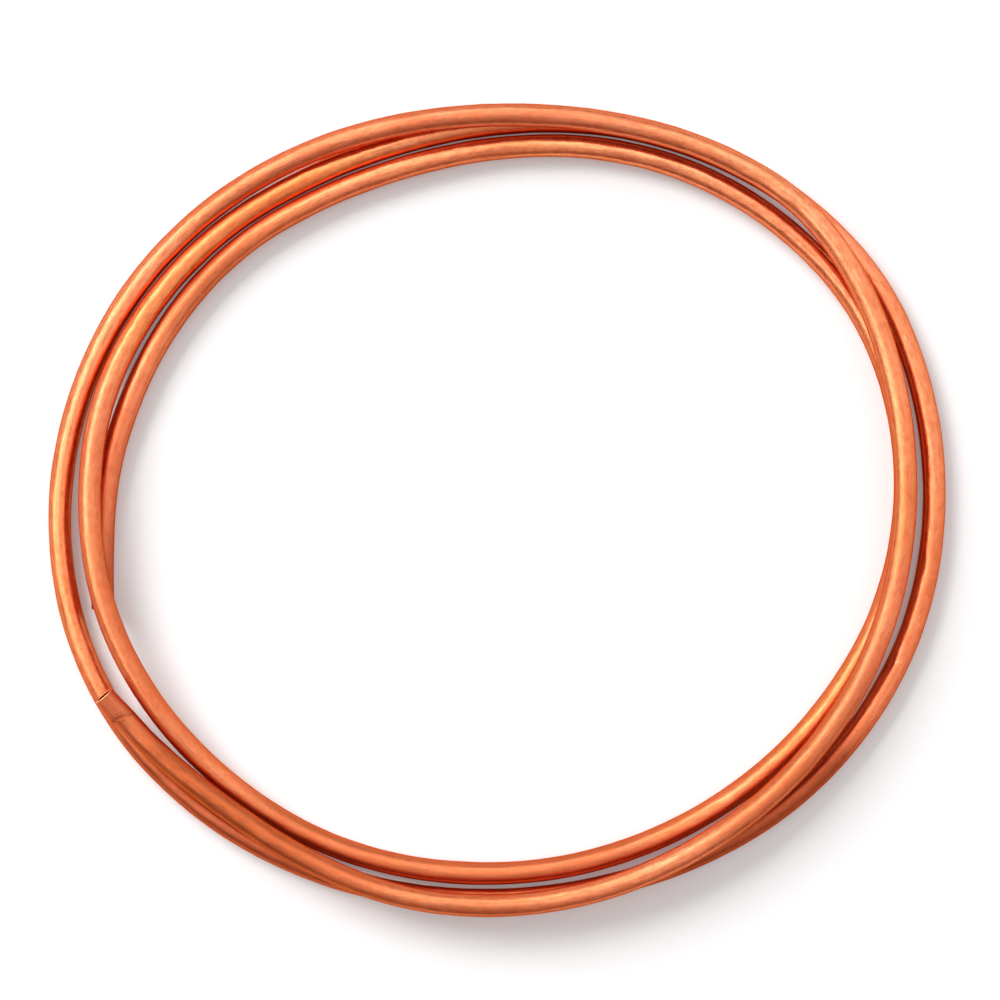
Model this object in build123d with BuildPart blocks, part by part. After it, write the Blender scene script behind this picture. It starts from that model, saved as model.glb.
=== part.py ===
from build123d import *
import os
from math import cos, pi, radians, sin, tan

# A cut length of soft copper tube, wound by hand into a loose flat coil of three turns.
# The coil lies on the floor at z = 0, with the middle of its box over the origin.
# Angles are in degrees, clockwise from the left as seen from above, the way the tube is wound.

# Tube stock
tube_od = 6.0
tube_wall = 0.8
edge_break = 0.2  # the cutter leaves the outer rim of each end slightly rounded

# Coil form
coil_radius = 105.9  # middle of the wound band, averaged round the coil
coil_ovality = 5.0  # the band stands this much further out along its long axis, and in across it
long_axis_angle = -14.7
turn_clearance = 0.2  # air left between turns that lie on or beside each other

# Each turn's place in the band at every half hour of the clock, starting from the left:
# 0 is the middle of the band, and 1 is one tube pitch further out
inner_turn = [
    -0.86, -1.05, -1.00, -0.97, -1.20, -1.25, -1.08, -0.81, -0.60, -0.48, -0.31, -0.42,
    -0.55, -0.63, -0.77, -0.78, -0.77, -0.75, -0.82, -0.87, -0.92, -1.02, -0.90, -0.60,
]
middle_turn = [
    -0.39, 0.00, 0.10, 0.03, -0.19, -0.22, -0.05, 0.24, 0.47, 0.75, 0.94, 0.75,
    0.70, 0.84, 0.89, 0.87, 0.65, 0.41, 0.31, 0.27, 0.38, 0.58, 0.85, 0.98,
]
outer_turn = [
    1.01, 1.05, 1.12, 1.05, 0.80, 0.45, 0.20, 0.20, 0.43, 0.65, 0.10, -0.48,
    -0.66, -0.50, -0.25, 0.02, 0.25, 0.44, 0.45, 0.31, -0.10, -0.25,
]
lanes = inner_turn + middle_turn + outer_turn
step_angle = 360 / len(inner_turn)

# The first end lies on the floor under the middle turn
start_angle = -14.3
start_lane = -0.55

# The last end is bent outwards and tipped up a little, clear of the turn that it lies on
end_bend_angle = 1045
end_bend_lane = 0.05
tip_bend_angle = 1050
tip_bend_lane = 0.25
end_angle = 1054.7
end_lane = 0.55
end_tip = 10
tip_bend_radius = 25.0

# Where the tube climbs onto turns that are already down, and where it comes off them again
ride_over_start = (302, 340)
ride_off_start = (360, 400)
ride_over_middle = (757, 806)

arc_share = 0.45  # share of a run that the arc at each of its ends may take up

tube_radius = tube_od / 2
pitch = tube_od + turn_clearance


def ramp(angle, span):
    """Smooth climb from 0 to 1 between the two angles of a span."""
    share = min(max((angle - span[0]) / (span[1] - span[0]), 0), 1)
    return (1 - cos(pi * share)) / 2


def ride_height(angle):
    """How far the tube's middle stands above that of a tube on the floor."""
    hump = ramp(angle, ride_over_start) - ramp(angle, ride_off_start)
    return pitch * (hump + ramp(angle, ride_over_middle))


def corner(angle, lane):
    """A corner of the route, which stands outside the round line that its arc follows."""
    oval = coil_radius + coil_ovality * cos(radians(2 * (angle - long_axis_angle)))
    reach = (oval + lane * pitch) / cos(radians(step_angle / 2))
    height = tube_radius + ride_height(angle)
    return Vector(-reach * cos(radians(angle)), reach * sin(radians(angle)), height)


def arc_radius(before, point, after):
    """Radius of the arc that takes its share of the shorter run beside a corner."""
    half_turn = radians((point - before).get_angle(after - point)) / 2
    run = min((point - before).length, (after - point).length)
    return arc_share * run / tan(half_turn)


# Route of the tube's middle line: straight runs joined by tangent arcs
points = [corner(start_angle, start_lane)]
points += [corner(place * step_angle, lane) for place, lane in enumerate(lanes)]
points += [corner(end_bend_angle, end_bend_lane), corner(tip_bend_angle, tip_bend_lane)]
level_end = corner(end_angle, end_lane)
end_rise = (level_end - points[-1]).length * tan(radians(end_tip))
points += [level_end + Vector(0, 0, end_rise)]
radii = [arc_radius(*points[i - 1 : i + 2]) for i in range(1, len(points) - 2)]
radii += [tip_bend_radius]

with BuildLine() as wound_line:
    FilletPolyline(*points, radius=radii)

wound_box = wound_line.line.bounding_box()
to_middle = Location((-wound_box.center().X, -wound_box.center().Y, 0))
route = wound_line.wire().moved(to_middle)

# The tube: a ring swept along the route, with both cut rims broken
with BuildPart() as copper_tube:
    with BuildSketch(Plane(origin=route @ 0, z_dir=route % 0)):
        Circle(tube_radius)
        Circle(tube_radius - tube_wall, mode=Mode.SUBTRACT)
    sweep(path=route)
    cut_faces = copper_tube.faces().filter_by(GeomType.PLANE)
    chamfer([face.outer_wire().edges()[0] for face in cut_faces], length=edge_break)

copper_tube.part.label = "copper_tube"

os.makedirs("parts", exist_ok=True)
export_step(copper_tube.part, "parts/copper_tube.step")

tube_box = copper_tube.part.bounding_box()
print("overall size", [round(v, 2) for v in tube_box.size])
print("lowest point", round(tube_box.min.Z, 4))
print("length along the middle line", round(route.length, 1))
print("volume", round(copper_tube.part.volume, 1))
print("section times length", round(pi * (tube_od - tube_wall) * tube_wall * route.length, 1))
print("bend radii", [round(radius, 1) for radius in radii])
print("straight length before the last end", round(route.edges()[-1].length, 3))
print("last end", route @ 1, "pointing", route % 1)
print("first end", route @ 0, "pointing", -(route % 0))
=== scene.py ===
import math

import bpy
import numpy as np
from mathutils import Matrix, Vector


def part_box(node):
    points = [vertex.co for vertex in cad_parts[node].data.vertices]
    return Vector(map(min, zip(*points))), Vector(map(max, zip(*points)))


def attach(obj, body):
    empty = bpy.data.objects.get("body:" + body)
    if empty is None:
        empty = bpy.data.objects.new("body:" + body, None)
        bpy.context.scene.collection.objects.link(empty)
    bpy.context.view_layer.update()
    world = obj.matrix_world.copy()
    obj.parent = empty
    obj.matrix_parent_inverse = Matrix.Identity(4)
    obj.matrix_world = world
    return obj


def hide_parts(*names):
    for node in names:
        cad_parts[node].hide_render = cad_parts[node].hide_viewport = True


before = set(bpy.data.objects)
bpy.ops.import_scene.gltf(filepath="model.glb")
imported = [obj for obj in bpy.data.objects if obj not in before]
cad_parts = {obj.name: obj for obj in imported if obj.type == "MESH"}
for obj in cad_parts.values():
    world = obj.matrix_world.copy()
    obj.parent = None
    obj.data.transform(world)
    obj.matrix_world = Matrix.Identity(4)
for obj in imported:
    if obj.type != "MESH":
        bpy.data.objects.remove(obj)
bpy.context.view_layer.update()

MM = 0.001

# Tube stock and coil form, as in the solid, in metres and degrees.
# Angles run clockwise from the left as seen from above, the way the tube is wound.
TUBE_OD = 6.0 * MM
TUBE_WALL = 0.8 * MM
COIL_RADIUS = 105.9 * MM
COIL_OVALITY = 5.0 * MM
LONG_AXIS_ANGLE = -14.7
TURN_CLEARANCE = 0.2 * MM

# Each turn's place in the wound band at every half hour of the clock, in tube pitches
INNER_TURN = [
    -0.86, -1.05, -1.00, -0.97, -1.20, -1.25, -1.08, -0.81, -0.60, -0.48, -0.31, -0.42,
    -0.55, -0.63, -0.77, -0.78, -0.77, -0.75, -0.82, -0.87, -0.92, -1.02, -0.90, -0.60,
]
MIDDLE_TURN = [
    -0.39, 0.00, 0.10, 0.03, -0.19, -0.22, -0.05, 0.24, 0.47, 0.75, 0.94, 0.75,
    0.70, 0.84, 0.89, 0.87, 0.65, 0.41, 0.31, 0.27, 0.38, 0.58, 0.85, 0.98,
]
OUTER_TURN = [
    1.01, 1.05, 1.12, 1.05, 0.80, 0.45, 0.20, 0.20, 0.43, 0.65, 0.10, -0.48,
    -0.66, -0.50, -0.25, 0.02, 0.25, 0.44, 0.45, 0.31, -0.10, -0.25,
]
LANES = INNER_TURN + MIDDLE_TURN + OUTER_TURN
STEP_ANGLE = 360 / len(INNER_TURN)
START = (-14.3, -0.55)
END_BENDS = [(1045, 0.05), (1050, 0.25)]
END = (1054.7, 0.55)
END_TIP = 10
RIDE_OVER_START = (302, 340)
RIDE_OFF_START = (360, 400)
RIDE_OVER_MIDDLE = (757, 806)

TUBE_RADIUS = TUBE_OD / 2
BORE_RADIUS = TUBE_RADIUS - TUBE_WALL
PITCH = TUBE_OD + TURN_CLEARANCE

# Mesh of the tube
LINE_STEPS = 24  # points of the smooth line for each corner of the route
LINE_ORDER = 3
RING_SIDES = 64
RING_SPACING = 1.8 * MM
FINE_SPACING = 0.2 * MM  # rings of the last end, which is worked
FINE_LENGTH = 11 * MM
BORE_SPACING = 12 * MM
RIM_ROUNDING = 0.2 * MM
LIP_ROUNDING = 0.12 * MM
ROUNDING_STEPS = 4
RIM_RINGS = 2 * ROUNDING_STEPS + 1
WALL_SLOT, BORE_SLOT, RIM_SLOT = range(3)

# Layout of the baked maps, as shares of their square
WALL_ROWS = 10
WALL_BOTTOM = 0.064
BORE_BAND = (0.004, 0.034)
RIM_BAND = (0.040, 0.058)
RIM_STRIP = 0.5
BAKE_EDGE = 0.006
BAKE_GAP = 0.03

# Slight unevenness of a tube bent by hand
WAVES = 40
WAVE_LENGTHS = (9 * MM, 70 * MM)
WAVE_LOBES = (1, 5)
WAVE_HEIGHT = 0.02 * MM
WAVE_SEED = 5

# Shallow dents: wound angle, degrees round from the top towards the eye, length, width, depth
DENTS = [
    (547.5, 38, 4.5 * MM, 3.0 * MM, 0.24 * MM),
    (561.7, 48, 4.6 * MM, 3.4 * MM, 0.40 * MM),
    (855.5, 45, 7.0 * MM, 3.5 * MM, 0.15 * MM),
    (866.0, 10, 6.0 * MM, 2.5 * MM, 0.10 * MM),
    (526.0, 20, 5.0 * MM, 3.0 * MM, 0.08 * MM),
    (343.0, 50, 5.0 * MM, 3.0 * MM, 0.10 * MM),
    (120.0, 15, 6.0 * MM, 3.0 * MM, 0.07 * MM),
    (930.0, -25, 8.0 * MM, 3.0 * MM, 0.07 * MM),
]

# The last end was gripped and pressed: a flat that leans outwards, closed off by a slanting step
PRESS_LENGTH = 7.6 * MM
PRESS_DEPTH = 0.45 * MM
PRESS_START = 0.75  # share of the depth at the step, from where the flat falls to the tip
PRESS_YIELD = 0.92  # share of the metal above the flat that gave way
PRESS_LEAN = 11
PRESS_ROUNDING = 0.25 * MM
PRESS_SLANT = 0.33
PRESS_STEP = (-0.25 * MM, 0.35 * MM)
TIP_NARROWING = 0.08
SCORE_PLACE = 0.3 * MM
SCORE_WIDTH = 0.5 * MM
SCORE_DEPTH = 0.14 * MM
SCORE_FADE = (0.2 * TUBE_RADIUS, 0.7 * TUBE_RADIUS)

# Stretches by wound angle where the copper is darker (below 0) or paler and brighter (above 0): partly
# its own tone, partly painted shade and painted highlight
TONES_AND_PAINTED_LIGHT = [
    (-20, -3, -1.0),
    (-3, 12, -0.15),
    (28, 45, -0.4),
    (60, 90, 0.5),
    (95, 155, 1.1),
    (195, 215, 0.5),
    (245, 310, -0.55),
    (325, 355, -0.25),
    (375, 410, 0.4),
    (425, 440, 0.7),
    (490, 508, 0.9),
    (508, 540, 0.5),
    # painted shadow: this stretch lies under a crossing
    (574, 605, -1.5),
    (650, 690, -0.9),
    (698, 762, 0.55),
    (795, 822, -0.3),
    # partly painted highlight: paler copper in place of a highlight
    (838, 890, 0.6),
    (850, 864, 0.6),
    (888, 912, -0.15),
    (920, 957, -0.4),
    (958, 971, 0.4),
    (985, 1000, -0.4),
    (1004, 1018, -0.6),
    (1018, 1050, -0.95),
]
TONE_AND_LIGHT_FADE = 7

# Stretches by wound angle where the copper looks golden (above 0) or pink (below 0)
HUES = [
    (-14, 22, -0.8),
    (90, 104, 0.5),
    (200, 222, 1.0),
    (245, 268, -0.4),
    (360, 378, -0.5),
    (382, 432, 1.0),
    (490, 508, -0.6),
    (552, 600, -0.5),
    (650, 690, -0.6),
    (700, 730, 0.4),
    (750, 778, -0.3),
    (778, 835, -0.75),
    (885, 905, 0.3),
    (908, 928, -0.6),
    (955, 985, -0.4),
    (1020, 1046, 0.6),
]
HUE_FADE = 6
HUE_STRENGTH = 0.16

# Scratches, and painted highlight and painted shade beside the dents: wound angle, degrees round from
# the top towards the eye, length, width, slant, and how light (above 0) or dark (below 0) each one is
SCRATCHES_AND_DENT_SHADING = [
    (342.4, 42, 3.6 * MM, 0.30 * MM, 50, -0.9),
    (341.2, 52, 2.4 * MM, 0.22 * MM, 35, -0.6),
    (305.5, 30, 1.6 * MM, 0.40 * MM, 20, -0.8),
    (307.2, 24, 1.1 * MM, 0.30 * MM, -30, -0.7),
    (371.6, -44, 4.2 * MM, 0.28 * MM, -10, 0.9),
    (373.2, -38, 3.4 * MM, 0.24 * MM, -10, 0.7),
    (517.0, 2, 2.6 * MM, 0.35 * MM, 6, 1.0),
    (526.2, 8, 2.2 * MM, 0.25 * MM, 70, -0.5),
    # painted highlight and painted shade on the sides of the dent at 561.7
    (560.8, 8, 3.6 * MM, 1.4 * MM, 60, 0.35),
    (562.4, 60, 3.0 * MM, 1.5 * MM, 10, -0.8),
    (760.0, 6, 6.0 * MM, 0.25 * MM, -24, 0.6),
    (765.0, -10, 4.5 * MM, 0.25 * MM, -24, 0.7),
    (772.5, 4, 3.0 * MM, 0.22 * MM, 30, -0.5),
    # painted highlight on the dent at 866
    (866.8, -4, 5.0 * MM, 1.1 * MM, 4, 0.8),
    (1024.0, 20, 4.0 * MM, 0.22 * MM, 20, -0.4),
]
LINE_MARK_SOFT = 0.2

# Colours of the copper, of the marks on it, of the painted shade and painted highlight laid on it, of
# the bore and of the cut rims
BRIGHT_COPPER = (0.84, 0.265, 0.113, 1)
DULL_COPPER = (0.80, 0.203, 0.077, 1)
# pale copper is partly painted highlight and aged copper partly painted shade, laid on by the stretches
# above
PALE_COPPER_AND_PAINTED_HIGHLIGHT = (1.0, 0.355, 0.167, 1)
AGED_COPPER_AND_PAINTED_SHADE = (0.36, 0.075, 0.027, 1)
# dark red copper for the grain's mottle and lines, and painted shade on the lower flanks
GRAIN_AND_PAINTED_SHADE_COPPER = (0.58, 0.114, 0.038, 1)
EDGE_TINT = (0.9, 0.42, 0.32, 1)
FLECK_BROWN = (0.30, 0.075, 0.03, 1)
# light and dark line colours: for scratches, and for painted highlight and painted shade beside dents
LIGHT_SCRATCH_AND_PAINTED_HIGHLIGHT = (1.0, 0.52, 0.28, 1)
DARK_SCRATCH_AND_PAINTED_SHADE = (0.36, 0.075, 0.028, 1)
PRESSED_COPPER = (0.58, 0.145, 0.064, 1)
STEP_STAIN = (0.34, 0.085, 0.036, 1)
BORE_BROWN = (0.12, 0.032, 0.015, 1)
BORE_BLACK = (0.035, 0.013, 0.008, 1)
RIM_BRIGHT = (1.0, 0.47, 0.25, 1)
RIM_DULL = (0.82, 0.25, 0.10, 1)

# Grain of the copper: its size round the tube, its size along it, and its detail
GRAINS = {
    "lines": (0.35 * MM, 60 * MM, 3),
    "bands": (1.7 * MM, 90 * MM, 2),
    "blotches": (2.6 * MM, 9 * MM, 5),
    "patches": (9 * MM, 45 * MM, 2),
    "mottle": (1.1 * MM, 2.4 * MM, 4),
    "speckle": (0.5 * MM, 0.8 * MM, 3),
    "specks": (0.40 * MM, 0.9 * MM, 1),
}
BORE_STREAKS = (0.8 * MM, 15 * MM, 4)
RIM_SCUFFS = (2600.0, 3.0)
GRAIN_MIDDLE = 0.5

# Spans of a grain or a place, and what they turn into where that isn't 0 to 1
TARNISH_SPAN = (0.62, 0.98)
# the pale and aged spans carry painted highlight and painted shade as well as the copper's own tone
PALE_AND_LIT_SPAN = (0.35, 0.65, 0.6, 1.0)
AGED_AND_SHADED_SPAN = (0.35, 0.65, -1.0, -0.7)
MOTTLE_SPAN = (0.40, 0.68, 0.0, 0.42)
LINES_SPAN = (0.45, 0.70, 0.0, 0.30)
LINES_ROUGH_SPAN = (0.25, 0.75, 0.25, 0.34)
# painted shade by height on the tube: full colour near the top, darker and redder copper on the lower
# flanks
PAINTED_SHADE_BELOW_SPAN = (0.92 * TUBE_RADIUS, 0.3 * TUBE_RADIUS, 0.0, 0.62)
FLECK_SPAN = (0.70, 0.76)
BORE_SPAN = (0.35, 0.75)
BORE_ROUGH_SPAN = (0.3, 0.7, 0.75, 0.55)
RIM_SPAN = (0.35, 0.65)
RIM_ROUGH_SPAN = (0.3, 0.7, 0.28, 0.42)

# The same for the pressed end: its upper face, its wear, the stained step and the grip's strokes
FACE_SPAN = (-0.1 * TUBE_RADIUS, 0.45 * TUBE_RADIUS)
WORKED_SPAN = (-0.2 * MM, 0.3 * MM)
WORN_SPAN = (0.25, 0.7, 0.95, 0.75)
STEP_REACH = 0.5 * MM
STEP_SOFT = 0.4
STAIN_SPAN = (-0.4 * TUBE_RADIUS, 0.5 * TUBE_RADIUS, 0.8, 0.35)
STROKE_WIDTH = 0.62 * MM
STROKE_WANDER = 8.0
STROKE_SPAN = (-0.4, 0.5)
STROKE_RAGGED = 2.5 * MM
STROKE_PLACE = 0.55 * MM
STROKE_REACH = 1.65 * MM
STROKE_SIDE_SPAN = (0.1 * TUBE_RADIUS, 0.6 * TUBE_RADIUS, 1.0, 0.25)

# Shares of the marks in the tarnish, the roughness and the height of the surface
TARNISH_SHARES = {"blotches": 0.6, "bands": 0.5, "patches": 0.5}
ROUGHNESS_SHARES = {
    "drawn": 1.0,
    "tarnish": 0.08,
    "worked": 0.12,
    "light": -0.12,
    "tone_and_painted_light": -0.06,
    "step": 0.2,
}
HEIGHT_SHARES = {
    "lines": 1.0,
    "blotches": 5.0,
    "mottle": 2.8,
    "speckle": 1.0,
    "flecks": -0.5,
    "line_marked": -1.0,
    "strokes": -1.0,
}
COPPER_BUMP = 0.022 * MM
RIM_BUMP = 0.02 * MM

# Marks that lie over the copper's colour, from the lowest up: mark, share, colour
LAYERS = [
    ("flecks", 0.6, FLECK_BROWN),
    # light and dark: scratches, and painted highlight and painted shade beside dents
    ("light", 0.7, LIGHT_SCRATCH_AND_PAINTED_HIGHLIGHT),
    ("dark", 0.8, DARK_SCRATCH_AND_PAINTED_SHADE),
    ("worn", 1.0, PRESSED_COPPER),
    ("stained", 1.0, STEP_STAIN),
    ("strokes", 0.85, DARK_SCRATCH_AND_PAINTED_SHADE),
]

# Camera and floor
CAMERA_HEIGHT = 900 * MM
SENSOR_WIDTH = 36
CLIP_START = 10 * MM
VIEW_WIDTH = 264.3 * MM  # width of the picture at the middle of a tube on the floor
VIEW_MIDDLE = (0.79 * MM, 2.67 * MM)
FLOOR_SIZE = 20.0
FLOOR_WHITE = 0.80
FLOOR_GLOW = 0.16
FLOOR_GLOW_COLOUR = (1.0, 0.95, 0.96, 1)

# Lamps, by the way they lie as seen from the coil, with their angles in degrees
LAMP_DISTANCE = 5.0
WHITE = (1, 1, 1)
SIDE_COLOUR = (1.0, 0.85, 0.75)
FRONT_COLOUR = (1.0, 0.36, 0.22)
FLOOR_LAMP = {"angle": 44, "lean": 57, "reach": (18, 15), "radiance": 11.4}
METAL_LAMPS = {
    "key": {"angle": 42, "lean": 33, "reach": (44, 30), "radiance": 1.05},
    "strip": {"angle": 38, "lean": 42, "reach": (46, 6), "radiance": 3.0},
    "left": {"angle": -2, "lean": 26, "reach": (30, 12), "radiance": 0.8},
    "fill": {"angle": 170, "lean": 46, "reach": (42, 44), "radiance": 0.48},
    "side": {"angle": 15, "lean": 80, "reach": (70, 13), "radiance": 0.36, "colour": SIDE_COLOUR},
    "front": {"angle": 270, "lean": 58, "reach": (66, 20), "radiance": 0.23, "colour": FRONT_COLOUR},
}
WORLD_DARK = (0.11, 0.090, 0.080, 1)
WORLD_LIGHT = (0.70, 0.70, 0.70, 1)
WORLD_LIGHT_SIDE = (0.12, 0.62, 0.78)
WORLD_FADE = (-0.6, 0.75)


def ramp(angle, span):
    """Smooth climb from 0 to 1 between the two angles of a span."""
    share = min(max((angle - span[0]) / (span[1] - span[0]), 0), 1)
    return (1 - math.cos(math.pi * share)) / 2


def ride_height(angle):
    """How far the tube's middle stands above that of a tube on the floor."""
    hump = ramp(angle, RIDE_OVER_START) - ramp(angle, RIDE_OFF_START)
    return PITCH * (hump + ramp(angle, RIDE_OVER_MIDDLE))


def corner(angle, lane):
    """A corner of the route, which stands outside the round line that the tube follows."""
    oval = COIL_RADIUS + COIL_OVALITY * math.cos(math.radians(2 * (angle - LONG_AXIS_ANGLE)))
    reach = (oval + lane * PITCH) / math.cos(math.radians(STEP_ANGLE / 2))
    height = TUBE_RADIUS + ride_height(angle)
    turn = math.radians(angle)
    return Vector((-reach * math.cos(turn), reach * math.sin(turn), height))


def route_corners():
    """The coil's turns, then the free end, bent outwards and tipped up."""
    corners = [corner(*START)]
    corners += [corner(place * STEP_ANGLE, lane) for place, lane in enumerate(LANES)]
    corners += [corner(*bend) for bend in END_BENDS]
    level_end = corner(*END)
    rise = (level_end - corners[-1]).length * math.tan(math.radians(END_TIP))
    return corners + [level_end + Vector((0, 0, rise))]


def smooth_line(corners):
    """Closely spaced points along the smooth line that the route's corners hold."""
    curve = bpy.data.curves.new("route", "CURVE")
    curve.dimensions = "3D"
    curve.resolution_u = LINE_STEPS
    spline = curve.splines.new("NURBS")
    spline.points.add(len(corners) - 1)
    for knot, point in zip(spline.points, corners):
        knot.co = (*point, 1)
    spline.order_u = LINE_ORDER
    spline.use_endpoint_u = True
    holder = bpy.data.objects.new("route", curve)
    mesh = bpy.data.meshes.new_from_object(holder)
    line = np.array([v.co for v in mesh.vertices])
    bpy.data.meshes.remove(mesh)
    bpy.data.objects.remove(holder)
    bpy.data.curves.remove(curve)
    return line


def unit(vectors):
    return vectors / np.linalg.norm(vectors, axis=-1, keepdims=True)


class MiddleLine:
    """The tube's middle line where the solid has it, with the directions across it."""

    def __init__(self):
        line = smooth_line(route_corners())
        low, high = (np.array(end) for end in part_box("copper_tube"))
        middle = (line.max(axis=0) + line.min(axis=0)) / 2
        line[:, :2] += ((low + high) / 2 - middle)[:2]
        self.line = line
        self.run = np.r_[0, np.cumsum(np.linalg.norm(np.diff(line, axis=0), axis=1))]
        self.length = self.run[-1]
        self.ahead = unit(np.gradient(line, self.run, axis=0))
        wound = np.degrees(np.unwrap(np.arctan2(line[:, 1], -line[:, 0])))
        self.wound = wound - 360 * round((wound[0] - START[0]) / 360)

    def at(self, along):
        """Places on the line, with the directions to the side, towards the eye, and up."""
        place, ahead = (
            np.stack([np.interp(along, self.run, row) for row in rows.T], axis=1)
            for rows in (self.line, self.ahead)
        )
        ahead = unit(ahead)
        side = unit(np.cross(ahead, (0, 0, 1)))
        return place, side, np.cross(side, ahead)

    def along_at(self, angle):
        """How far along the tube a wound angle is."""
        return float(np.interp(angle, self.wound, self.run))


def smoothstep(low, high, value):
    share = np.clip((value - low) / (high - low), 0, 1)
    return share * share * (3 - 2 * share)


def unevenness(around, along):
    """Seeded waves round and along the tube, as a height above its surface."""
    draw = np.random.default_rng(WAVE_SEED)
    height = np.zeros(np.broadcast(around, along).shape)
    for _ in range(WAVES):
        length = math.exp(draw.uniform(*np.log(WAVE_LENGTHS)))
        lobes = draw.integers(*WAVE_LOBES)
        phase = draw.uniform(0, 2 * math.pi)
        height += np.cos(lobes * around + 2 * math.pi * along / length + phase)
    return height * WAVE_HEIGHT / math.sqrt(WAVES / 2)


def dented(middle, around, along):
    """How far the dents push the surface in."""
    depth = np.zeros(np.broadcast(around, along).shape)
    for angle, turned, length, width, deep in DENTS:
        away = (along - middle.along_at(angle)) / (length / 2)
        off = np.angle(np.exp(1j * (around - math.radians(turned)))) * TUBE_RADIUS / (width / 2)
        depth = np.maximum(depth, deep * np.exp(-(away**2) - off**2))
    return depth


def rounding(along, length, radius):
    """How far a rounded rim draws in, at distances along a tube of the given length."""
    from_end = np.minimum(along, length - along)
    near = np.clip(radius - from_end, 0, radius)
    return radius - np.sqrt(radius**2 - near**2)


def pressed(middle, across, height, along):
    """Shape of the last end: sideways and upward places moved as the grip left them."""
    past = along - (middle.length - PRESS_LENGTH - PRESS_SLANT * across)
    grip = smoothstep(*PRESS_STEP, past)
    tip = smoothstep(0, PRESS_LENGTH, past)
    lean = math.radians(PRESS_LEAN)
    lift = height * math.cos(lean) - across * math.sin(lean)
    slide = across * math.cos(lean) + height * math.sin(lean)
    flat = TUBE_RADIUS - PRESS_DEPTH * (PRESS_START + (1 - PRESS_START) * tip)
    over = lift - flat
    pushed = PRESS_YIELD * grip * (over + np.sqrt(over**2 + PRESS_ROUNDING**2)) / 2
    groove = SCORE_DEPTH * np.exp(-(((past - SCORE_PLACE) / (SCORE_WIDTH / 2)) ** 2))
    lift = lift - pushed - groove * smoothstep(*SCORE_FADE, lift)
    slide = slide * (1 - TIP_NARROWING * tip)
    across = slide * math.cos(lean) - lift * math.sin(lean)
    height = slide * math.sin(lean) + lift * math.cos(lean)
    return across, height


def ring_places(middle, along, radius, outside):
    """Rings of points round the middle line, outside or in the bore, and their places if straight."""
    around = np.arange(RING_SIDES)[None] * 2 * math.pi / RING_SIDES
    reach = along[:, None]
    if outside:
        swell = unevenness(around, reach) - dented(middle, around, reach)
        size = radius[:, None] + swell
    else:
        size = np.repeat(radius[:, None], RING_SIDES, axis=1)
    across, height = size * np.sin(around), size * np.cos(around)
    across, height = pressed(middle, across, height, reach)
    place, side, up = middle.at(along)
    points = place[:, None] + side[:, None] * across[..., None] + up[:, None] * height[..., None]
    points[..., 2] = np.maximum(points[..., 2], 0)
    straight = (np.cos(around) * TUBE_RADIUS, np.sin(around) * TUBE_RADIUS, reach)
    straight = np.stack([np.broadcast_to(part, across.shape) for part in straight], axis=-1)
    return points, straight


def distances(length, spacing, rounded):
    """Distances of rings along the tube, closer on the rounded rims and the worked end."""
    turn = np.linspace(0, math.pi / 2, ROUNDING_STEPS + 1)
    rim = rounded * (1 - np.sin(turn[::-1]))
    fine = length - FINE_LENGTH
    body = np.linspace(rim[-1], fine, round((fine - rim[-1]) / spacing) + 1)
    worked = np.linspace(fine, length - rim[-1], round(FINE_LENGTH / FINE_SPACING) + 1)
    return np.concatenate([rim[:-1], body[:-1], worked, length - rim[-2::-1]])


def stretches(middle, along, spans, fade):
    """Level along the tube that its stretches give it, fading in and out at their ends."""
    wound = np.interp(along, middle.run, middle.wound)
    level = np.zeros(len(along))
    for first, last, share in spans:
        rise = smoothstep(first - fade, first + fade, wound)
        fall = smoothstep(last - fade, last + fade, wound)
        level += share * rise * (1 - fall)
    return np.repeat(level, RING_SIDES)


def tube_faces(rings):
    """Faces from each ring to the next: out along the wall, back through the bore, and closed."""
    ids = np.arange(rings * RING_SIDES).reshape(rings, RING_SIDES)
    after = np.roll(ids, -1, axis=0)
    return np.stack([after, np.roll(after, -1, axis=1), np.roll(ids, -1, axis=1), ids], axis=-1)


def rim_rings(rings, wall_rings):
    """Numbers of the rings of faces on the first end's rim, and on the last end's."""
    about_start = np.arange(RIM_RINGS) - ROUNDING_STEPS - 1
    return about_start % rings, wall_rings + about_start


def face_slots(rings, wall_rings):
    """Which material each face has."""
    slots = np.full(rings, WALL_SLOT, dtype=np.int32)
    slots[wall_rings:] = BORE_SLOT
    for rim in rim_rings(rings, wall_rings):
        slots[rim] = RIM_SLOT
    return np.repeat(slots, RING_SIDES)


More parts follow.
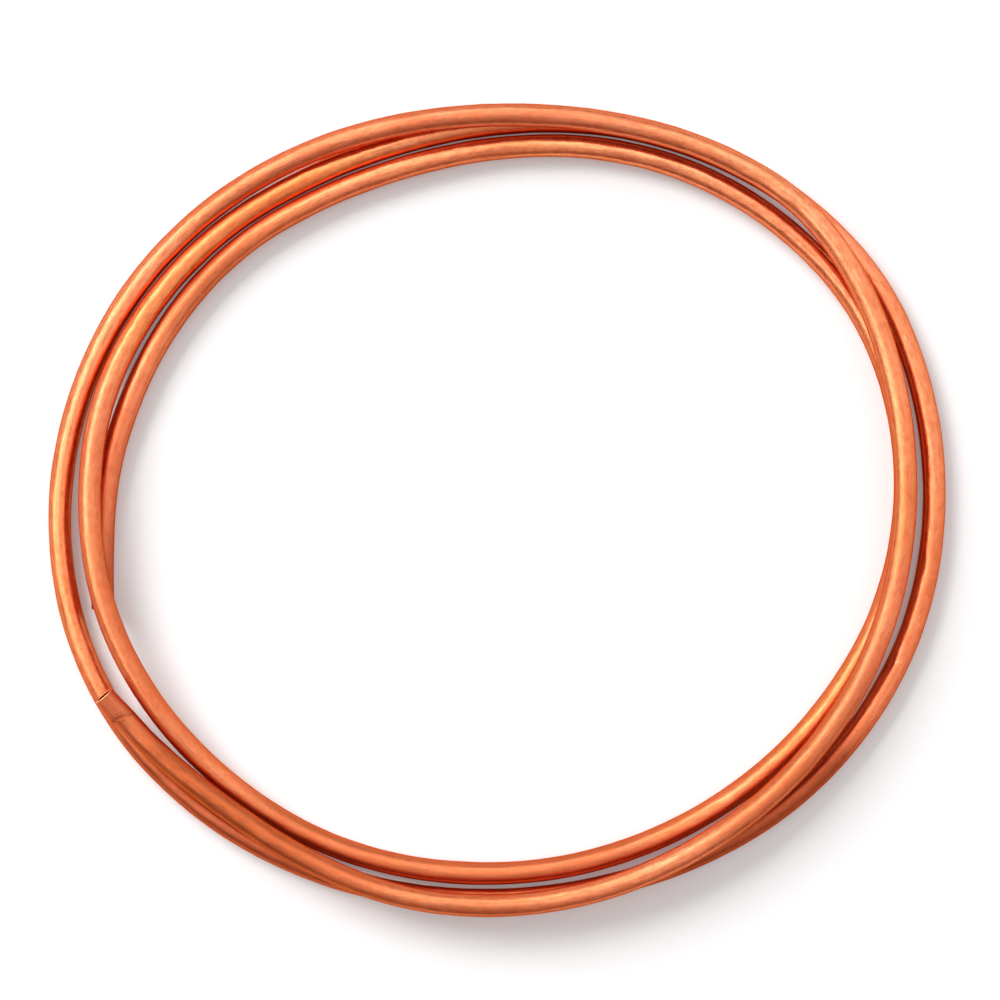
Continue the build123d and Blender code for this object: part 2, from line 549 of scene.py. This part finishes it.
def bake_layout(rings, wall_rings):
    """Places of every face's corners in a square: the wall in rows, then the bore and the rims."""
    ring = np.arange(rings)[:, None, None]
    side = np.arange(RING_SIDES)[None, :, None]
    corner_ring = np.array([1, 1, 0, 0])
    corner_side = np.array([0, 1, 1, 0])
    places = np.zeros((rings, RING_SIDES, 4, 2))
    across = (side + corner_side) / RING_SIDES
    per_row = math.ceil((wall_rings - 1) / WALL_ROWS)
    row, column = np.divmod(ring, per_row)
    row_pitch = (1 - WALL_BOTTOM) / WALL_ROWS
    places[..., 0] = BAKE_EDGE + (1 - 2 * BAKE_EDGE) * (column + corner_ring) / per_row
    places[..., 1] = WALL_BOTTOM + row_pitch * (row + (1 - BAKE_GAP) * across)
    bore = slice(wall_rings, rings)
    bore_share = (ring[bore] - wall_rings + corner_ring) / (rings - wall_rings)
    places[bore, ..., 0] = BAKE_EDGE + (1 - 2 * BAKE_EDGE) * bore_share
    places[bore, ..., 1] = BORE_BAND[0] + (BORE_BAND[1] - BORE_BAND[0]) * across[0]
    rim_share = (np.arange(RIM_RINGS)[:, None, None] + corner_ring) / RIM_RINGS
    for number, rim in enumerate(rim_rings(rings, wall_rings)):
        strip = BAKE_EDGE + RIM_STRIP * number + (RIM_STRIP - 2 * BAKE_EDGE) * across[0]
        places[rim, ..., 0] = strip
        places[rim, ..., 1] = RIM_BAND[0] + (RIM_BAND[1] - RIM_BAND[0]) * rim_share
    return places


def add_attribute(mesh, name, kind, field, values):
    mesh.attributes.new(name, kind, "POINT").data.foreach_set(field, values)


def build_tube(middle):
    """The tube's wall, bore and cut rims as one closed mesh."""
    length = middle.length
    outer = distances(length, RING_SPACING, RIM_ROUNDING)
    inner = distances(length, BORE_SPACING, LIP_ROUNDING)[::-1]
    outer_radius = TUBE_RADIUS - rounding(outer, length, RIM_ROUNDING)
    inner_radius = BORE_RADIUS + rounding(inner, length, LIP_ROUNDING)
    wall, wall_straight = ring_places(middle, outer, outer_radius, outside=True)
    bore, bore_straight = ring_places(middle, inner, inner_radius, outside=False)
    points = np.concatenate([wall, bore])
    straight = np.concatenate([wall_straight, bore_straight])
    along = np.r_[outer, inner]
    rings = len(points)
    mesh = bpy.data.meshes.new("copper_tube_wound")
    mesh.from_pydata(points.reshape(-1, 3).tolist(), [], tube_faces(rings).reshape(-1, 4).tolist())
    mesh.polygons.foreach_set("use_smooth", np.ones(len(mesh.polygons), dtype=bool))
    mesh.polygons.foreach_set("material_index", face_slots(rings, len(wall)))
    add_attribute(mesh, "straightened", "FLOAT_VECTOR", "vector", straight.ravel())
    add_attribute(mesh, "tone_and_painted_light", "FLOAT", "value", stretches(middle, along, TONES_AND_PAINTED_LIGHT, TONE_AND_LIGHT_FADE))
    add_attribute(mesh, "hue", "FLOAT", "value", stretches(middle, along, HUES, HUE_FADE))
    layout = mesh.uv_layers.new(name="OFBake")
    layout.uv.foreach_set("vector", bake_layout(rings, len(wall)).ravel())
    mesh.update()
    tube = bpy.data.objects.new("copper_tube_wound", mesh)
    bpy.context.scene.collection.objects.link(tube)
    return tube


def add_node(tree, kind, values=None, **settings):
    """A node with its settings, and its inputs linked where the value is a socket."""
    made = tree.nodes.new(kind)
    for name, value in settings.items():
        setattr(made, name, value)
    for name, value in (values or {}).items():
        if isinstance(value, bpy.types.NodeSocket):
            tree.links.new(value, made.inputs[name])
        else:
            made.inputs[name].default_value = value
    return made


def maths(tree, operation, first, second=0.0):
    return add_node(tree, "ShaderNodeMath", {0: first, 1: second}, operation=operation).outputs[0]


def vector_maths(tree, operation, first, second):
    values = {0: first, 1: second}
    return add_node(tree, "ShaderNodeVectorMath", values, operation=operation).outputs


def spread(tree, value, low, high, to_low=0.0, to_high=1.0):
    """Smoothly maps a span of values to another."""
    values = {"Value": value, "From Min": low, "From Max": high, "To Min": to_low, "To Max": to_high}
    made = add_node(tree, "ShaderNodeMapRange", values, interpolation_type="SMOOTHSTEP")
    return made.outputs["Result"]


def mixed(tree, share, first, second):
    """Two colours mixed, by the numbers of a Mix node's colour sockets."""
    values = {0: share, 6: first, 7: second}
    return add_node(tree, "ShaderNodeMix", values, data_type="RGBA").outputs[2]


def weighted(tree, marks, shares):
    """Sum of the named marks, each times its share."""
    total = 0.0
    for name, share in shares.items():
        total = maths(tree, "ADD", total, maths(tree, "MULTIPLY", marks[name], share))
    return total


def noise(tree, place, scale, detail):
    values = {"Vector": place, "Scale": scale, "Detail": detail}
    return add_node(tree, "ShaderNodeTexNoise", values).outputs["Fac"]


def grain(tree, straight, around, along, detail):
    """Noise whose grains have the given sizes round and along the tube."""
    size = (1 / around, 1 / around, 1 / along)
    return noise(tree, vector_maths(tree, "MULTIPLY", straight, size)[0], 1.0, detail)


def band(tree, value, reach, soft=0.5):
    """1 near the middle of a span of plus or minus the reach, fading to 0 at its ends."""
    return spread(tree, maths(tree, "ABSOLUTE", value), soft * reach, reach, 1.0, 0.0)


def attribute(tree, name, output="Fac"):
    return add_node(tree, "ShaderNodeAttribute", attribute_name=name).outputs[output]


def new_material(name):
    material = bpy.data.materials.new(name)
    material.use_nodes = True
    tree = material.node_tree
    return material, tree, tree.nodes["Principled BSDF"]


def dress_metal(tree, shader, colour, roughness):
    tree.links.new(colour, shader.inputs["Base Color"])
    shader.inputs["Metallic"].default_value = 1
    tree.links.new(roughness, shader.inputs["Roughness"])


def add_bump(tree, shader, height, distance):
    values = {"Height": height, "Distance": distance, "Strength": 1.0}
    bump = add_node(tree, "ShaderNodeBump", values)
    tree.links.new(bump.outputs[0], shader.inputs["Normal"])


def line_mark(tree, along, around, middle, mark):
    """A short straight line on the wall."""
    angle, turned, length, width, slant, level = mark
    away = maths(tree, "SUBTRACT", along, middle.along_at(angle))
    off = maths(tree, "SUBTRACT", around, TUBE_RADIUS * math.radians(turned))
    turn_cos, turn_sin = math.cos(math.radians(slant)), math.sin(math.radians(slant))
    run = maths(tree, "MULTIPLY", away, turn_cos)
    run = maths(tree, "ADD", run, maths(tree, "MULTIPLY", off, turn_sin))
    gap = maths(tree, "MULTIPLY", off, turn_cos)
    gap = maths(tree, "SUBTRACT", gap, maths(tree, "MULTIPLY", away, turn_sin))
    line = band(tree, run, length / 2)
    line = maths(tree, "MULTIPLY", line, band(tree, gap, width / 2, LINE_MARK_SOFT))
    return maths(tree, "MULTIPLY", line, abs(level))


def line_marks(tree, along, around, middle, dark):
    """All the light line marks, or all the dark ones: scratches, and painted highlight and painted
    shade beside dents.
    """
    total = 0.0
    for mark in SCRATCHES_AND_DENT_SHADING:
        if (mark[-1] < 0) == dark:
            total = maths(tree, "MAXIMUM", total, line_mark(tree, along, around, middle, mark))
    return total


def press_marks(tree, marks, top, across, past):
    """Marks of the pressed end, by the height, the side and the distance past its step."""
    face = spread(tree, top, *FACE_SPAN)
    worked = maths(tree, "MULTIPLY", spread(tree, past, *WORKED_SPAN), face)
    worn = maths(tree, "MULTIPLY", worked, spread(tree, marks["blotches"], *WORN_SPAN))
    step = maths(tree, "MULTIPLY", band(tree, past, STEP_REACH, STEP_SOFT), face)
    stained = maths(tree, "MULTIPLY", step, spread(tree, across, *STAIN_SPAN))
    wander = maths(tree, "SUBTRACT", marks["mottle"], GRAIN_MIDDLE)
    wander = maths(tree, "MULTIPLY", wander, STROKE_WANDER)
    wave = maths(tree, "MULTIPLY", across, 2 * math.pi / STROKE_WIDTH)
    strokes = maths(tree, "SINE", maths(tree, "ADD", wave, wander))
    strokes = spread(tree, strokes, *STROKE_SPAN)
    ragged = maths(tree, "SUBTRACT", marks["speckle"], GRAIN_MIDDLE)
    ragged = maths(tree, "MULTIPLY", ragged, STROKE_RAGGED)
    reached = maths(tree, "SUBTRACT", maths(tree, "ADD", past, ragged), STROKE_PLACE)
    near = band(tree, reached, STROKE_REACH)
    near = maths(tree, "MULTIPLY", near, spread(tree, across, *STROKE_SIDE_SPAN))
    strokes = maths(tree, "MULTIPLY", maths(tree, "MULTIPLY", strokes, near), face)
    return {"worked": worked, "worn": worn, "step": step, "stained": stained, "strokes": strokes}


def copper_marks(tree, middle, straight, top, across, along):
    """Everything that varies over the wall, by name."""
    around = maths(tree, "MULTIPLY", maths(tree, "ARCTAN2", across, top), TUBE_RADIUS)
    past = maths(tree, "ADD", along, maths(tree, "MULTIPLY", across, PRESS_SLANT))
    past = maths(tree, "SUBTRACT", past, middle.length - PRESS_LENGTH)
    marks = {name: grain(tree, straight, *size) for name, size in GRAINS.items()}
    marks["tone_and_painted_light"] = attribute(tree, "tone_and_painted_light")
    marks["hue"] = attribute(tree, "hue")
    marks["drawn"] = spread(tree, marks["lines"], *LINES_ROUGH_SPAN)
    marks["tarnish"] = spread(tree, weighted(tree, marks, TARNISH_SHARES), *TARNISH_SPAN)
    marks["flecks"] = spread(tree, marks["specks"], *FLECK_SPAN)
    marks["light"] = line_marks(tree, along, around, middle, dark=False)
    marks["dark"] = line_marks(tree, along, around, middle, dark=True)
    marks["line_marked"] = maths(tree, "MAXIMUM", marks["light"], marks["dark"])
    return marks | press_marks(tree, marks, top, across, past)


def copper_colour(tree, marks, top):
    """Copper that is tarnished, paler in some stretches and darker in others, partly as painted
    highlight and painted shade, darker and redder towards its underside as painted shade, with the
    marks laid over it.
    """
    colour = mixed(tree, marks["tarnish"], BRIGHT_COPPER, DULL_COPPER)
    # paler and darker stretches: the copper's own tone, with painted highlight and painted shade
    pale_and_lit = maths(tree, "MULTIPLY", marks["tone_and_painted_light"], spread(tree, marks["blotches"], *PALE_AND_LIT_SPAN))
    colour = mixed(tree, maths(tree, "MAXIMUM", pale_and_lit, 0.0), colour, PALE_COPPER_AND_PAINTED_HIGHLIGHT)
    aged_and_shaded = maths(tree, "MULTIPLY", marks["tone_and_painted_light"], spread(tree, marks["blotches"], *AGED_AND_SHADED_SPAN))
    colour = mixed(tree, maths(tree, "MAXIMUM", aged_and_shaded, 0.0), colour, AGED_COPPER_AND_PAINTED_SHADE)
    colour = mixed(tree, spread(tree, marks["mottle"], *MOTTLE_SPAN), colour, GRAIN_AND_PAINTED_SHADE_COPPER)
    colour = mixed(tree, spread(tree, marks["lines"], *LINES_SPAN), colour, GRAIN_AND_PAINTED_SHADE_COPPER)
    # painted shade: darker, redder copper towards the underside of the tube
    colour = mixed(tree, spread(tree, top, *PAINTED_SHADE_BELOW_SPAN), colour, GRAIN_AND_PAINTED_SHADE_COPPER)
    blue = maths(tree, "SUBTRACT", 1.0, maths(tree, "MULTIPLY", marks["hue"], HUE_STRENGTH))
    tint = add_node(tree, "ShaderNodeCombineXYZ", {"X": 1.0, "Y": 1.0, "Z": blue}).outputs[0]
    colour = vector_maths(tree, "MULTIPLY", colour, tint)[0]
    for name, share, over in LAYERS:
        colour = mixed(tree, maths(tree, "MULTIPLY", marks[name], share), colour, over)
    return colour


def copper_material(middle):
    """Drawn soft copper, dulled and marked by handling, with painted shade and painted highlight laid
    into its colour.
    """
    material, tree, shader = new_material("soft_copper")
    straight = attribute(tree, "straightened", "Vector")
    top, across, along = add_node(tree, "ShaderNodeSeparateXYZ", {0: straight}).outputs
    marks = copper_marks(tree, middle, straight, top, across, along)
    roughness = weighted(tree, marks, ROUGHNESS_SHARES)
    dress_metal(tree, shader, copper_colour(tree, marks, top), roughness)
    shader.inputs["Specular Tint"].default_value = EDGE_TINT
    add_bump(tree, shader, weighted(tree, marks, HEIGHT_SHARES), COPPER_BUMP)
    return material


def bore_material():
    """Dull dark oxide, with a little bare copper showing through."""
    material, tree, shader = new_material("bore_oxide")
    streaks = grain(tree, attribute(tree, "straightened", "Vector"), *BORE_STREAKS)
    colour = mixed(tree, spread(tree, streaks, *BORE_SPAN), BORE_BLACK, BORE_BROWN)
    dress_metal(tree, shader, colour, spread(tree, streaks, *BORE_ROUGH_SPAN))
    return material


def rim_material():
    """Bare bright metal, with fine marks left by the cutter."""
    material, tree, shader = new_material("cut_rim")
    place = add_node(tree, "ShaderNodeTexCoord").outputs["Object"]
    scuffs = noise(tree, place, *RIM_SCUFFS)
    colour = mixed(tree, spread(tree, scuffs, *RIM_SPAN), RIM_BRIGHT, RIM_DULL)
    dress_metal(tree, shader, colour, spread(tree, scuffs, *RIM_ROUGH_SPAN))
    add_bump(tree, shader, scuffs, RIM_BUMP)
    return material


def camera_like_photo():
    data = bpy.data.cameras.new("camera")
    data.sensor_width = SENSOR_WIDTH
    data.lens = data.sensor_width * (CAMERA_HEIGHT - TUBE_RADIUS) / VIEW_WIDTH
    data.clip_start = CLIP_START
    camera = bpy.data.objects.new("camera", data)
    camera.location = (*VIEW_MIDDLE, CAMERA_HEIGHT)
    bpy.context.scene.collection.objects.link(camera)
    bpy.context.scene.camera = camera


def softbox(name, angle, lean, reach, radiance, in_metal, colour=WHITE):
    """A lamp at a clock angle from the left, leaning away from overhead, with its half sizes as angles.

    It shows in the metal as a soft highlight, or else it lights the floor.
    """
    data = bpy.data.lights.new(name, "AREA")
    data.shape = "RECTANGLE"
    data.size, data.size_y = (2 * LAMP_DISTANCE * math.tan(math.radians(half)) for half in reach)
    data.energy = radiance * math.pi * data.size * data.size_y
    data.color = colour
    lamp = bpy.data.objects.new(name, data)
    turn, tilt = math.radians(angle), math.radians(lean)
    out = math.sin(tilt)
    way = Vector((-math.cos(turn) * out, math.sin(turn) * out, math.cos(tilt)))
    lamp.location = way * LAMP_DISTANCE
    lamp.rotation_euler = way.to_track_quat("Z", "Y").to_euler()
    lamp.visible_camera = False
    lamp.visible_glossy = in_metal
    lamp.visible_diffuse = not in_metal
    bpy.context.scene.collection.objects.link(lamp)


def white_floor():
    """A matt white floor that keeps the shadow and looks a little brighter than it is lit."""
    mesh = bpy.data.meshes.new("floor")
    half = FLOOR_SIZE / 2
    corners = [(-half, -half, 0), (half, -half, 0), (half, half, 0), (-half, half, 0)]
    mesh.from_pydata(corners, [], [(0, 1, 2, 3)])
    floor = bpy.data.objects.new("floor", mesh)
    bpy.context.scene.collection.objects.link(floor)
    material, tree, shader = new_material("white_floor")
    shader.inputs["Base Color"].default_value = (FLOOR_WHITE, FLOOR_WHITE, FLOOR_WHITE, 1)
    shader.inputs["Roughness"].default_value = 1
    shader.inputs["Specular IOR Level"].default_value = 0
    rays = add_node(tree, "ShaderNodeLightPath").outputs
    shown = maths(tree, "MAXIMUM", rays["Is Camera Ray"], rays["Is Glossy Ray"])
    shown = maths(tree, "MAXIMUM", shown, rays["Is Transmission Ray"])
    shader.inputs["Emission Color"].default_value = FLOOR_GLOW_COLOUR
    tree.links.new(maths(tree, "MULTIPLY", shown, FLOOR_GLOW), shader.inputs["Emission Strength"])
    mesh.materials.append(material)


def studio_world():
    """Brighter above and behind the coil than in front of it."""
    world = bpy.data.worlds.new("studio")
    bpy.context.scene.world = world
    world.use_nodes = True
    tree = world.node_tree
    way = add_node(tree, "ShaderNodeTexCoord").outputs["Generated"]
    facing = vector_maths(tree, "DOT_PRODUCT", way, WORLD_LIGHT_SIDE)["Value"]
    colour = mixed(tree, spread(tree, facing, *WORLD_FADE), WORLD_DARK, WORLD_LIGHT)
    tree.links.new(colour, tree.nodes["Background"].inputs["Color"])


middle = MiddleLine()
tube = build_tube(middle)
tube.data.materials.append(copper_material(middle))
tube.data.materials.append(bore_material())
tube.data.materials.append(rim_material())
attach(tube, "root")
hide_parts("copper_tube")

camera_like_photo()
softbox("floor_softbox", **FLOOR_LAMP, in_metal=False)
for name, lamp in METAL_LAMPS.items():
    softbox(f"{name}_softbox", **lamp, in_metal=True)
white_floor()
studio_world()
bpy.context.scene.view_settings.view_transform = "Standard"
